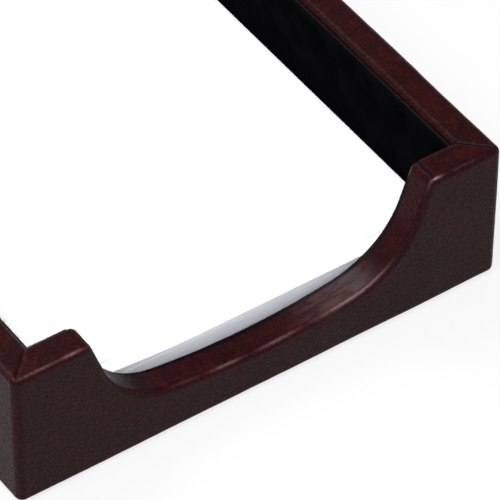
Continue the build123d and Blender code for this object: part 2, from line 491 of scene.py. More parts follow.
@dataclass(frozen=True)
class VelveteenFinish:
    """Near-black velveteen: a short dense pile, brushed in patches, with paler pile ends of a cool grey that
    on the lining's top edge are also a painted highlight.
    """

    name: str = "velveteen"
    colour: Colour = (0.0007, 0.0008, 0.0010)
    nap: Colour = (0.0018, 0.0019, 0.0022)
    # Pale pile ends, also a painted highlight along the lining's top edge.
    tip: Colour = (0.0150, 0.0158, 0.0170)
    tuft: Grain = Grain(0.35 * MM)
    tuft_depth: float = 0.05 * MM
    tuft_ramp: Ramp = (0.25, 0.7, 0.3, 1.0)
    brushed: Grain = Grain(6 * MM, 2.0, 0.5)
    brushed_ramp: Ramp = (0.35, 0.7)
    roughness: float = 0.95
    sheen: float = 0.008
    sheen_tint: Colour = (0.66, 0.70, 0.76)
    sheen_roughness: float = 0.45

    def build(self) -> Material:
        """Builds the material.

        Returns:
            A material that reads the meshes' tip value.
        """
        sketch = MaterialSketch(self.name)
        place = sketch.place()
        tuft = sketch.noise(self.tuft, place)
        tone = sketch.mottled(self.brushed, place, self.brushed_ramp, self.colour, self.nap)
        # Pale pile ends and a painted highlight, strongest along the lining's top edge.
        tips_and_highlight = sketch.times(sketch.value("tip"), sketch.ramp(tuft, self.tuft_ramp))
        return sketch.shade(
            Base_Color=sketch.mix(tips_and_highlight, tone, self.tip),
            Roughness=self.roughness,
            Specular_IOR_Level=0.0,
            Sheen_Weight=self.sheen,
            Sheen_Roughness=self.sheen_roughness,
            Sheen_Tint=self.sheen_tint,
            Normal=sketch.bump(tuft, self.tuft_depth),
        )


@dataclass(frozen=True)
class FeltFinish:
    """Green-black pressed felt with paler clumps and matted fibres that cross."""

    name: str = "base_felt"
    colour: Colour = (0.0110, 0.0140, 0.0120)
    pale: Colour = (0.0300, 0.0360, 0.0320)
    fibre: Grain = Grain(0.5 * MM)
    fibre_depth: float = 0.09 * MM
    fibre_ramp: Ramp = (0.62, 0.82, 0.0, 0.6)
    fibre_stretch: float = 0.22
    roughness: float = 1.0
    clump: Grain = Grain(3.5 * MM, 3.0)
    clump_ramp: Ramp = (0.3, 0.75, 0.0, 0.6)
    sheen: float = 0.08
    sheen_roughness: float = 0.5

    def build(self) -> Material:
        """Builds the material.

        Returns:
            The felt's material.
        """
        sketch = MaterialSketch(self.name)
        place = sketch.place()
        ways = ((1.0, self.fibre_stretch, 1.0), (self.fibre_stretch, 1.0, 1.0))
        fibres = sketch.most(*(sketch.noise(self.fibre, sketch.scaled(place, way)) for way in ways))
        tone = sketch.mottled(self.clump, place, self.clump_ramp, self.colour, self.pale)
        return sketch.shade(
            Base_Color=sketch.mix(sketch.ramp(fibres, self.fibre_ramp), tone, self.pale),
            Roughness=self.roughness,
            Specular_IOR_Level=0.0,
            Sheen_Weight=self.sheen,
            Sheen_Roughness=self.sheen_roughness,
            Normal=sketch.bump(fibres, self.fibre_depth),
        )


@dataclass(frozen=True)
class PaperFinish:
    """Smooth white writing paper, with a painted cool light on its cut edges: a bluer white there."""

    name: str = "paper"
    colour: Colour = (0.930, 0.932, 0.935)
    fleck: Colour = (0.900, 0.900, 0.902)
    # Painted cool light on the cut edges: a bluer white.
    cut: Colour = (0.930, 0.935, 1.000)
    fibre: Grain = Grain(0.4 * MM, 3.0)
    fibre_depth: float = 0.004 * MM
    fleck_ramp: Ramp = (0.55, 0.8, 0.0, 0.5)
    roughness: float = 0.8
    specular: float = 0.1

    def build(self) -> Material:
        """Builds the material.

        Returns:
            A material that reads the meshes' value for the painted cool light on the cut edges.
        """
        sketch = MaterialSketch(self.name)
        fibre = sketch.noise(self.fibre, sketch.place())
        tone = sketch.mix(sketch.ramp(fibre, self.fleck_ramp), self.colour, self.fleck)
        return sketch.shade(
            # Painted cool light on the cut edges.
            Base_Color=sketch.mix(sketch.value("cut"), tone, self.cut),
            Roughness=self.roughness,
            Specular_IOR_Level=self.specular,
            Normal=sketch.bump(fibre, self.fibre_depth),
        )


@dataclass(frozen=True)
class GrainFinish:
    """A plain finish of two tones, whose grain also sets its gloss, for the work out of sight."""

    name: str
    colour: Colour
    streak: Colour
    grain: Grain
    depth: float
    tone_ramp: Ramp
    rough_ramp: Ramp
    scale: tuple[float, float, float] = (1.0, 1.0, 1.0)
    metallic: float = 0.0

    def build(self) -> Material:
        """Builds the material.

        Returns:
            The material.
        """
        sketch = MaterialSketch(self.name)
        grain = sketch.noise(self.grain, sketch.scaled(sketch.place(), self.scale))
        return sketch.shade(
            Base_Color=sketch.mix(sketch.ramp(grain, self.tone_ramp), self.colour, self.streak),
            Metallic=self.metallic,
            Roughness=sketch.ramp(grain, self.rough_ramp),
            Normal=sketch.bump(grain, self.depth),
        )


BOARD_FINISH = GrainFinish(
    name="board",
    colour=(0.42, 0.29, 0.17),
    streak=(0.25, 0.15, 0.08),
    grain=Grain(2.2 * MM, 4.0),
    depth=0.05 * MM,
    tone_ramp=(0.4, 0.7),
    rough_ramp=(0.0, 1.0, 0.7, 0.7),
    scale=(1.0, 0.06, 1.0),
)
CARD_FINISH = GrainFinish(
    name="card",
    colour=(0.30, 0.26, 0.21),
    streak=(0.16, 0.13, 0.10),
    grain=Grain(0.6 * MM, 4.0, 0.7),
    depth=0.02 * MM,
    tone_ramp=(0.55, 0.8),
    rough_ramp=(0.0, 1.0, 0.9, 0.9),
)
WIRE_FINISH = GrainFinish(
    name="brad_steel",
    colour=(0.56, 0.55, 0.53),
    streak=(0.56, 0.55, 0.53),
    grain=Grain(0.1 * MM),
    depth=0.005 * MM,
    tone_ramp=(0.0, 1.0),
    rough_ramp=(0.3, 0.7, 0.25, 0.45),
    scale=(0.05, 1.0, 1.0),
    metallic=1.0,
)


# ---- the tray's form


@dataclass(frozen=True)
class TrayForm:
    """The tray's sizes, most of them read from the CAD model's nodes."""

    half_width: float
    half_depth: float
    height: float
    sole: float
    well_x: float
    well_y: float
    lined_x: float
    lined_y: float
    floor_top: float
    sheet_bottom: float
    lining_top: float
    fold: float = 1.4 * MM
    corner: float = 1.9 * MM
    turn_in: float = 9 * MM
    turn_under: float = 6 * MM
    leather: float = 0.8 * MM

    @classmethod
    def from_frame(cls) -> "TrayForm":
        """Reads the sizes from where the CAD nodes are.

        Returns:
            The tray's form.
        """
        right_low, right_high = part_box("right_leather")
        front_low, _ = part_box("front_leather")
        side_low, side_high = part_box("right_lining")
        end_low, end_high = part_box("rear_lining")
        floor_low, floor_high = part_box("floor_lining")
        return cls(
            half_width=right_high.x,
            half_depth=-front_low.y,
            height=right_high.z,
            sole=right_low.z,
            well_x=side_high.x,
            well_y=end_high.y,
            lined_x=side_low.x,
            lined_y=end_low.y,
            floor_top=floor_low.z,
            sheet_bottom=floor_high.z,
            lining_top=side_high.z,
        )

    @property
    def side_wall(self) -> float:
        """Thickness of the left and right walls."""
        return self.half_width - self.well_x

    @property
    def end_wall(self) -> float:
        """Thickness of the front and rear walls."""
        return self.half_depth - self.well_y


@dataclass(frozen=True)
class TopLine:
    """The top line of a wall: points along it and up, and the normals there."""

    along: Array
    up: Array
    normal_along: Array
    normal_up: Array

    @classmethod
    def level(cls, end: float, height: float, step: float) -> "TopLine":
        """A level line, as far to the left of the middle as to the right."""
        along = spread(-end, end, step)
        return cls(along, np.full(len(along), height), np.zeros(len(along)), np.ones(len(along)))

    def mirrored(self) -> "TopLine":
        """Adds the left half to a line that starts in the middle.

        Returns:
            The whole line.
        """
        odd = (np.concatenate([-each[:0:-1], each]) for each in (self.along, self.normal_along))
        even = (np.concatenate([each[:0:-1], each]) for each in (self.up, self.normal_up))
        return TopLine(next(odd), next(even), next(odd), next(even))


@dataclass(frozen=True)
class Scoop:
    """The scoop in the front wall: a wide belly, a round cheek and a straight side up to each post."""

    form: TrayForm
    post_width: float = 18.3 * MM
    sill: float = 11.1 * MM
    belly_turn: float = math.radians(9.0)
    cheek_radius: float = 20.2 * MM
    side_slope: float = math.radians(71.2)
    post_round: float = 2.0 * MM
    step: float = 0.7 * MM
    post_step: float = 0.25 * MM

    @property
    def rim(self) -> float:
        """Where the scoop's side would meet the rim."""
        return self.form.half_width - self.post_width

    @property
    def belly_radius(self) -> float:
        """Works out the belly that brings the scoop's side up to the rim in the right place.

        Returns:
            The belly's radius.
        """
        cheek_run = self.cheek_radius * (math.sin(self.side_slope) - math.sin(self.belly_turn))
        cheek_rise = self.cheek_radius * (math.cos(self.belly_turn) - math.cos(self.side_slope))
        side_run = (self.form.height - self.sill - cheek_rise) / math.tan(self.side_slope)
        share = 1 - math.tan(self.belly_turn / 2) / math.tan(self.side_slope)
        return (self.rim - cheek_run - side_run) / share / math.sin(self.belly_turn)

    def top_line(self, end: float, grow: float = 0.0) -> TopLine:
        """Follows the front wall's top line.

        Args:
            end: How far from the middle the line ends, on a post.
            grow: How far the line lies inside the wall.

        Returns:
            The line from the left post to the right post.
        """
        slope, turn = self.side_slope, self.belly_turn
        belly, cheek = self.belly_radius + grow, self.cheek_radius + grow
        rounding, height = self.post_round - grow, self.form.height - grow
        low = spread(0, turn, self.step / belly)
        belly_x = belly * np.sin(low)
        belly_z = self.sill - grow + belly * (1 - np.cos(low))
        steep = spread(turn, slope, self.step / cheek)[1:]
        cheek_x = belly_x[-1] + cheek * (np.sin(steep) - math.sin(turn))
        cheek_z = belly_z[-1] + cheek * (math.cos(turn) - np.cos(steep))
        rise = height - cheek_z[-1] - rounding * (1 - math.cos(slope))
        lengths = spread(0, rise / math.sin(slope), self.step)[1:]
        side_x = cheek_x[-1] + lengths * math.cos(slope)
        side_z = cheek_z[-1] + lengths * math.sin(slope)
        over = spread(slope, 0, self.post_step / rounding)[1:]
        post_x = side_x[-1] + rounding * (math.sin(slope) - np.sin(over))
        post_z = side_z[-1] + rounding * (np.cos(over) - math.cos(slope))
        rim_x = spread(post_x[-1], end, self.step)[1:]
        angle = np.concatenate([low, steep, np.full(len(side_x), slope), over, np.zeros(len(rim_x))])
        along = np.concatenate([belly_x, cheek_x, side_x, post_x, rim_x])
        up = np.concatenate([belly_z, cheek_z, side_z, post_z, np.full(len(rim_x), height)])
        return TopLine(along, up, -np.sin(angle), np.cos(angle)).mirrored()


# ---- leather covering


@dataclass(frozen=True)
class Ring:
    """One line of points along a wall's covering, at the same place across it.

    inward is the distance in from the outer face and drop the distance below the top line. out and up make
    the normal. share is how far up the outer face a ring is, from 0 at the bottom fold to 1 at the top one.
    low is the height of a ring under the wall. The last field is over 0 on the outer fold and under 0 on the
    inner one; it sets wear with a painted highlight there.
    """

    inward: float
    drop: float
    out: float
    up: float
    share: float = 1.0
    low: float = 0.0
    rub: float = 0.0


@dataclass(frozen=True)
class ScuffHighlight:
    """A small pale spot where the leather's finish has been knocked off, and a painted highlight there."""

    place: tuple[float, float, float]
    reach: tuple[float, float, float]
    strength: float

    def value_at(self, points: Array) -> Array:
        """How strong the knocked-off spot and its painted highlight are at each point, from 0 to 1."""
        gap = (points - np.array(self.place)) / np.array(self.reach)
        return self.strength * np.exp(-(gap**2).sum(axis=-1))


@dataclass(frozen=True)
class FrontStretch:
    """A stretch of the front wall for one of its marks of wear, gloss, painted highlight and painted shade:
    its middle, reach and strength.
    """

    middle: float
    reach: float
    strength: float

    def value_at(self, along: Array) -> Array:
        """How strong the change is at each distance along the wall, from 0 to 1."""
        return self.strength * bell(along - self.middle, self.reach)


@dataclass
class LeatherCover:
    """The leather of one wall: turned under it, up its outer face, folded over its top and turned in."""

    form: TrayForm
    side: Side
    material: Material
    scuff_highlights: tuple[ScuffHighlight, ...] = ()
    step: float = 1.2 * MM
    fold_steps: int = 10
    face_step: float = 2.0 * MM
    turn_step: float = 4 * MM
    beside_fold: float = 0.3 * MM
    inner_share: float = 0.8
    end_zone: float = 11 * MM
    last_run: float = 1.7 * MM
    last_steps: int = 7
    swell: float = 0.13 * MM
    swell_pitch: float = 17 * MM
    swell_seed: float = 3.1
    pucker: float = 0.035 * MM
    pucker_pitch: float = 3.2 * MM
    pucker_seed: float = 8.4
    groove: float = 0.42 * MM
    groove_width: float = 0.34 * MM
    left_seams: float = 0.45
    rim_gain: float = 1.6
    rim_start: float = 0.5
    # Wear with a painted highlight: on the outer fold, the inner fold and the vertical corners, and where on
    # the outer fold it is strongest.
    top_wear_and_highlight: float = 0.22
    inner_wear_and_highlight: float = 0.03
    corner_wear_and_highlight: float = 0.035
    wear_and_highlight_middle: float = 0.65
    wear_and_highlight_reach: float = 0.18
    seam_cover: float = 0.7

    @property
    def half_length(self) -> float:
        """Half the wall's length outside."""
        return self.form.half_depth if self.side.along_y else self.form.half_width

    @property
    def reach(self) -> float:
        """How far the wall's outer face is from the tray's middle."""
        return self.form.half_width if self.side.along_y else self.form.half_depth

    @property
    def thickness(self) -> float:
        """The wall's thickness."""
        return self.form.side_wall if self.side.along_y else self.form.end_wall

    @property
    def other_thickness(self) -> float:
        """The thickness of the walls that it meets."""
        return self.form.end_wall if self.side.along_y else self.form.side_wall

    def top_line(self) -> TopLine:
        """The wall's top line between its end zones."""
        return TopLine.level(self.half_length - self.end_zone, self.form.height, self.step)

    def edge_wear_and_highlight(self, along: Array) -> Array:
        """How much wear and painted highlight the outer top fold has, at each distance along the wall."""
        return np.full(len(along), self.top_wear_and_highlight)

    def polish(self, grid: Array, normal: Array) -> Array:
        """How much gloss hands have given the leather at each point, which also paints a highlight colour.
        """
        return np.zeros(grid.shape[:2])

    def turned_in(self) -> Sequence[float]:
        """How far down the inside the leather's last rings are."""
        return (self.form.fold + self.beside_fold, self.turn_step, self.form.turn_in)

    def rings(self) -> list[Ring]:
        """Lists the lines of points across the covering, from under the wall up over it and in.

        Returns:
            The rings in order.
        """
        fold, sole, near = self.form.fold, self.form.sole, self.beside_fold
        turns = [(math.sin(turn), math.cos(turn)) for turn in np.linspace(0, RIGHT_ANGLE, self.fold_steps)]
        shares = np.linspace(0, 1, self.fold_steps)
        face = self.form.height - sole - 2 * fold
        inner = self.thickness - fold
        under = (self.form.turn_under, self.turn_step, fold + near)
        rings = [Ring(inward, 0, 0, -1, low=sole) for inward in under]
        rings += [Ring(fold * (1 - sin), 0, sin, -cos, low=sole + fold * (1 - cos)) for sin, cos in turns]
        rise = spread(2 * near, face - 2 * near, self.face_step) / face
        rings += [Ring(0, fold, 1, 0, share) for share in [near / face, *rise, 1 - near / face]]
        for share, (sin, cos) in zip(shares, turns):
            # Wear with a painted highlight, strongest part way round the outer fold.
            rub = float(bell(share - self.wear_and_highlight_middle, self.wear_and_highlight_reach))
            rings.append(Ring(fold * (1 - cos), fold * (1 - sin), cos, sin, rub=rub))
        flat = spread(fold + 2 * near, inner - 2 * near, self.step)
        rings += [Ring(inward, 0, 0, 1) for inward in [fold + near, *flat, inner - near]]
        for share, (sin, cos) in zip(shares, turns):
            rub = -math.sin(share * math.pi)
            rings.append(Ring(inner + fold * sin, fold * (1 - cos), -sin, cos, rub=rub))
        rings += [Ring(self.thickness, drop, -1, 0) for drop in self.turned_in()]
        return rings

    def end_run(self, inward: float) -> tuple[Array, Array, Array]:
        """Follows a ring from its end zone to the mitre, round the tray's upright corner.

        Args:
            inward: The ring's distance in from the outer face.

        Returns:
            The distances along and inward, and the angle that the outward direction has turned.
        """
        corner = self.form.corner
        radius = max(corner - inward, 0.0)
        slant = (self.other_thickness - corner) / (self.thickness - corner)
        straight_end = self.half_length - (corner if radius else corner + (inward - corner) * slant)
        start = self.half_length - self.end_zone
        total = straight_end - start + radius * RIGHT_ANGLE / 2
        steps = round((self.end_zone - self.last_run) / (self.step / 2))
        first = np.linspace(0, total - self.last_run, steps)[1:]
        last = np.linspace(total - self.last_run, total, self.last_steps + 1)[1:]
        travel = np.concatenate([first, last])
        past = np.clip(travel - (straight_end - start), 0, None)
        turned = past / radius if radius else np.zeros(len(travel))
        along = np.minimum(start + travel, straight_end) + radius * np.sin(turned)
        across = np.where(turned > 0, corner - radius * np.cos(turned), inward)
        return along, across, turned

    def core(self, ring: Ring, line: TopLine) -> tuple[Array, Array, Array, Array]:
        """Places a ring between the wall's end zones.

        Args:
            ring: The ring.
            line: The wall's top line.

        Returns:
            Its points along and up, and how much its normal there leans along and up.
        """
        fold = self.form.fold
        flat = np.zeros(len(line.along))
        if ring.low:
            return line.along - fold * line.normal_along, flat + ring.low, flat, flat + 1
        along = line.along - ring.drop * line.normal_along
        up = line.up - ring.drop * line.normal_up
        if ring.share < 1:
            base = self.form.sole + fold
            up = base + ring.share * (line.up - fold * line.normal_up - base)
        return along, up, line.normal_along, line.normal_up

    def surface(self) -> tuple[Sheet, list[Ring]]:
        """Works out the whole covering as one grid.

        Returns:
            The grid with its values for the leather's finish, and its rings.
        """
        line = self.top_line()
        rings = self.rings()
        points, normals, lines = [], [], []
        for ring in rings:
            end_along, end_across, turned = self.end_run(ring.inward)
            core_along, core_up, lean, rise = self.core(ring, line)
            pad, flat = np.zeros(len(end_along)), np.zeros(len(core_along))
            along = with_tails(core_along, end_along, -1)
            across = with_tails(flat + ring.inward, end_across)
            turn = with_tails(flat, turned, -1)
            height = with_tails(core_up, pad + core_up[-1])
            lines.append(along)
            points.append(self.side.place(along, self.reach - across, height))
            tilt = ring.out * np.sin(turn) + ring.up * with_tails(lean, pad)
            up = ring.up * with_tails(rise, pad + 1)
            normals.append(self.side.place(tilt, ring.out * np.cos(turn), up))
        grid, normal = np.array(points), np.array(normals)
        # Wear with a painted highlight: along the outer fold by the wall's profile, on the inner fold by a
        # fixed share.
        fold_wear_and_highlight = np.array([ring.rub for ring in rings])[:, None]
        rub = np.where(fold_wear_and_highlight > 0, fold_wear_and_highlight * self.edge_wear_and_highlight(lines[0]), -fold_wear_and_highlight * self.inner_wear_and_highlight)
        grid, seam_shade = self.relief(grid, normal, rings)
        round_corner = np.abs(normal[..., 0] * normal[..., 1]) * 2
        values = {
            # Wear with a painted highlight on the folds and vertical corners, less over the seams.
            "rub": np.maximum(rub, self.corner_wear_and_highlight * round_corner**2) * (1 - self.seam_cover * seam_shade),
            "scuff_and_highlight": np.max([np.zeros(seam_shade.shape)] + [spot.value_at(grid) for spot in self.scuff_highlights], axis=0),
            "seam_shade": seam_shade,
            "polish": self.polish(grid, normal),
            # Painted shade on faces that turn away from straight up.
            "side_face_shade": 1 - np.clip(normal[..., 2], 0, 1),
        }
        return Sheet(grid, {label: value.ravel() for label, value in values.items()}), rings

    def relief(self, grid: Array, normal: Array, rings: Sequence[Ring]) -> tuple[Array, Array]:
        """Adds the leather's swells and puckers, and its grooves at the mitres.

        Args:
            grid: The covering's points.
            normal: The direction out of the leather at each point.
            rings: The covering's rings, not used here.

        Returns:
            The points with the relief, and how deep in a seam each one is, from 0 to 1.
        """
        seam_shade = self.mitre_seam(grid, normal)
        height = self.swell * ripple(grid, self.swell_pitch, self.swell_seed)
        height = height + self.pucker * ripple(grid, self.pucker_pitch, self.pucker_seed)
        grid = grid + normal * (height * (1 - seam_shade))[..., None]
        grid[..., 2] -= self.groove * seam_shade
        return grid, seam_shade

    def mitre_seam(self, grid: Array, normal: Array) -> Array:
        """Finds the mitres.

        Args:
            grid: The covering's points.
            normal: The direction out of the leather at each point.

        Returns:
            How near each point on the rim is to a mitre, from 0 to 1.
        """
        form = self.form
        run = np.array([form.side_wall, form.end_wall]) - form.corner
        run = run / np.linalg.norm(run)
        past_x = form.half_width - np.abs(grid[..., 0]) - form.corner
        past_y = form.half_depth - np.abs(grid[..., 1]) - form.corner
        high = grid[..., 2] > form.height / 2
        on_rim = np.clip(normal[..., 2] * self.rim_gain - self.rim_start, 0, 1) * high
        return bell(past_x * run[1] - past_y * run[0], self.groove_width) * on_rim * self.openness(grid)

    def openness(self, grid: Array) -> Array:
        """How open a seam is at each point, from 0 to 1: less on the left of the tray."""
        return np.where(grid[..., 0] < 0, self.left_seams, 1.0)

    def dress(self, name: str, sheet: Sheet, keep: Array | None, node: str) -> Piece:
        """Makes a leather piece from some of the covering's quads.

        Args:
            name: The piece's name.
            sheet: The covering.
            keep: Which quads the piece has, or None for all.
            node: The CAD node that it stands for.

        Returns:
            The new piece.
        """
        piece = make_object(name, sheet.points, sheet.faces(keep), sheet.values)
        thicken(piece, self.form.leather * self.inner_share)
        return settle(piece, self.material, BODY_TRAY, node)

    def build(self) -> list[Piece]:
        """Builds the wall's leather.

        Returns:
            The new piece.
        """
        sheet, _ = self.surface()
        node = f"{self.side.label}_leather"
        return [self.dress(f"{node}_cover", sheet, None, node)]


@dataclass
class FrontLeatherCover(LeatherCover):
    """The front wall's leather: its face and posts in one piece, and the strip that lines the scoop."""

    scoop: Scoop | None = None
    short_turn: tuple[float, ...] = (0.1 * MM, 0.3 * MM, 0.5 * MM)
    strip_lap: float = 1.3 * MM
    strip_groove: float = 0.26 * MM
    strip_groove_width: float = 0.28 * MM
    strip_groove_drop: float = 3 * MM
    groove_start: float = 0.4
    groove_fade: float = 0.6
    # Painted shade along the scoop's inner edge: its strength, and where it starts and fades across the wall
    # and below the rim.
    inner_edge_shade: float = 0.94
    edge_start: float = 1.8 * MM
    edge_fade: float = 0.6 * MM
    edge_drop: float = 1 * MM
    edge_drop_fade: float = 3 * MM
    foot_height: float = 24 * MM
    facing_up: float = 0.5
    # Painted shade low on the scoop's left side.
    foot_shade: FrontStretch = FrontStretch(-34.5 * MM, 7.5 * MM, 0.50)
    # Gloss on the scoop's strip, which also paints a highlight colour.
    polish_and_highlight_stretch: FrontStretch = FrontStretch(20.0 * MM, 10.5 * MM, 0.50)
    # Wear with a painted highlight along the outer top fold.
    worn: tuple[FrontStretch, ...] = (
        FrontStretch(-58.0 * MM, 3.5 * MM, 0.85),
        FrontStretch(-51.0 * MM, 3.0 * MM, 0.50),
        FrontStretch(-46.0 * MM, 3.0 * MM, 0.75),
        FrontStretch(-19.0 * MM, 5.0 * MM, 0.28),
        FrontStretch(-9.0 * MM, 4.5 * MM, 0.62),
        FrontStretch(4.0 * MM, 6.0 * MM, 0.60),
        FrontStretch(22.0 * MM, 8.0 * MM, 1.00),
        FrontStretch(43.8 * MM, 1.5 * MM, 0.65),
        FrontStretch(49.0 * MM, 3.0 * MM, 0.25),
        FrontStretch(59.0 * MM, 3.0 * MM, 0.40),
    )

    @property
    def strip_end(self) -> float:
        """How far from the middle the scoop's strip ends, on a post."""
        return self.scoop.rim + self.strip_lap

    def top_line(self) -> TopLine:
        """The wall's top line between its end zones, down and up through the scoop."""
        return self.scoop.top_line(self.half_length - self.end_zone)

    def edge_wear_and_highlight(self, along: Array) -> Array:
        """How much wear and painted highlight the outer top fold has, most where a hand reaches in for a
        sheet.
        """
        return np.max([stretch.value_at(along) for stretch in self.worn], axis=0)

    def polish(self, grid: Array, normal: Array) -> Array:
        """How much gloss hands have given the leather at each point, most to the right of the middle; it
        also paints a highlight colour there.
        """
        return self.polish_and_highlight_stretch.value_at(grid[..., 0]) * np.clip(normal[..., 2], 0, 1)

    def turned_in(self) -> Sequence[float]:
        """How far down the inside the leather's last rings are, short of the posts' small rounding."""
        return [self.form.fold + drop for drop in self.short_turn]

    def relief(self, grid: Array, normal: Array, rings: Sequence[Ring]) -> tuple[Array, Array]:
        """Adds the grooves at the strip's ends, and painted shade along its inner edge and low on its left
        side.

        Args:
            grid: The covering's points.
            normal: The direction out of the leather at each point.
            rings: The covering's rings.

        Returns:
            The points with the relief, and how deep in a seam or in shade each one is, from 0 to 1.
        """
        grid, seam_shade = super().relief(grid, normal, rings)
        fold, height = self.form.fold, self.form.height
        across = np.array([ring.inward for ring in rings])[:, None]
        on_top = np.array([ring.out < self.facing_up and not ring.low for ring in rings])[:, None]
        high = grid[..., 2] > height - self.strip_groove_drop
        groove = bell(np.abs(grid[..., 0]) - self.strip_end, self.strip_groove_width) * on_top * high
        groove = groove * np.clip((across - self.groove_start * fold) / (self.groove_fade * fold), 0, 1)
        groove = groove * self.openness(grid)
        grid = grid - normal * (self.strip_groove * groove)[..., None]
        # Painted shade along the scoop's inner edge and low on its left side.
        inner = np.clip((across - self.thickness + self.edge_start) / self.edge_fade, 0, 1)
        low = np.clip((height - self.edge_drop - grid[..., 2]) / self.edge_drop_fade, 0, 1)
        foot_shade_mask = self.foot_shade.value_at(grid[..., 0]) * on_top * (grid[..., 2] < self.foot_height)
        return grid, np.max([seam_shade, groove, self.inner_edge_shade * inner * low, foot_shade_mask], axis=0)

    def build(self) -> list[Piece]:
        """Builds the front wall's face and posts, and the scoop's strip.

        Returns:
            The two new pieces.
        """
        sheet, rings = self.surface()
        middle = (sheet.points[:-1, :-1, 0] + sheet.points[1:, 1:, 0]) / 2
        first = self.form.fold + self.beside_fold - TINY
        over = np.array([ring.inward >= first and ring.out < TINY and not ring.low for ring in rings])
        in_scoop = over[:-1, None] & (np.abs(middle) < self.strip_end)
        return [
            self.dress("front_leather_cover", sheet, ~in_scoop, "front_leather"),
            self.dress("scoop_leather_strip", sheet, in_scoop, "scoop_leather"),
        ]


# ---- linings


